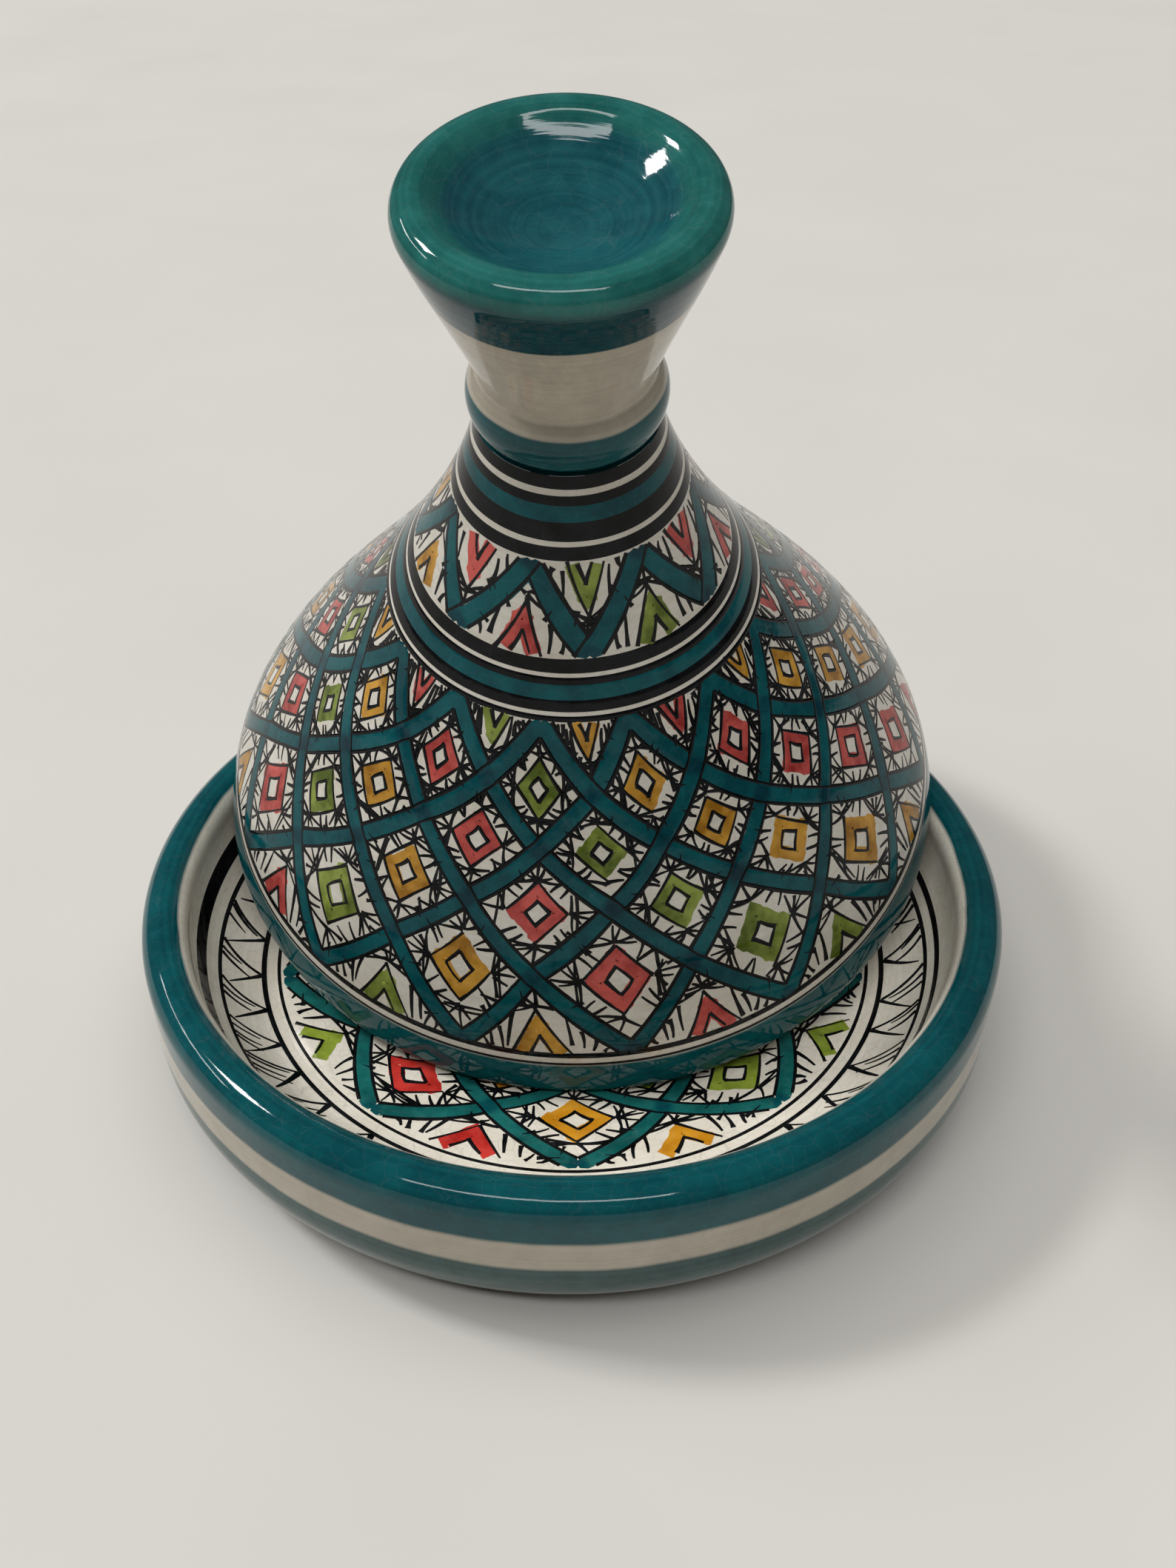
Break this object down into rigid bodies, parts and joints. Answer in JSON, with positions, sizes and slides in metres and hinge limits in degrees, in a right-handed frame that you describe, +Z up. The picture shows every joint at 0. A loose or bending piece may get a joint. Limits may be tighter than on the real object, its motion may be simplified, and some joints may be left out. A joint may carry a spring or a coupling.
{
  "type": "tagine pot",
  "caption": "Glazed earthenware tagine: a shallow round dish with a rolled rim and a hollow bell-shaped lid with a flared knob, set ajar in the dish and free to lift off.",
  "frame": {"origin": "middle of the dish's flat foot, on the surface it stands on", "axes": "+Z up along the dish's axis, -Y to the front, where the lid's edge dips into the well"},
  "size_m": [0.2, 0.2171, 0.2088],
  "materials": {
    "dish_glaze": "cream glaze with teal bands and painted lattice, glossy",
    "lid_glaze": "cream glaze with painted teal lattice, glossy",
    "slip": "fired clay slip, unglazed",
    "knob_glaze": "teal glaze over cream, glossy"
  },
  "bodies": {
    "dish": {"dish": "dish_glaze"},
    "lid": {"lid_cone": "lid_glaze", "luting_ring": "slip", "knob": "knob_glaze"}
  },
  "joints": [
    {"name": "lid_lift", "type": "slide", "parent": "dish", "child": "lid", "axis": [0, 0, 1], "range_m": [0, 0.12]}
  ]
}
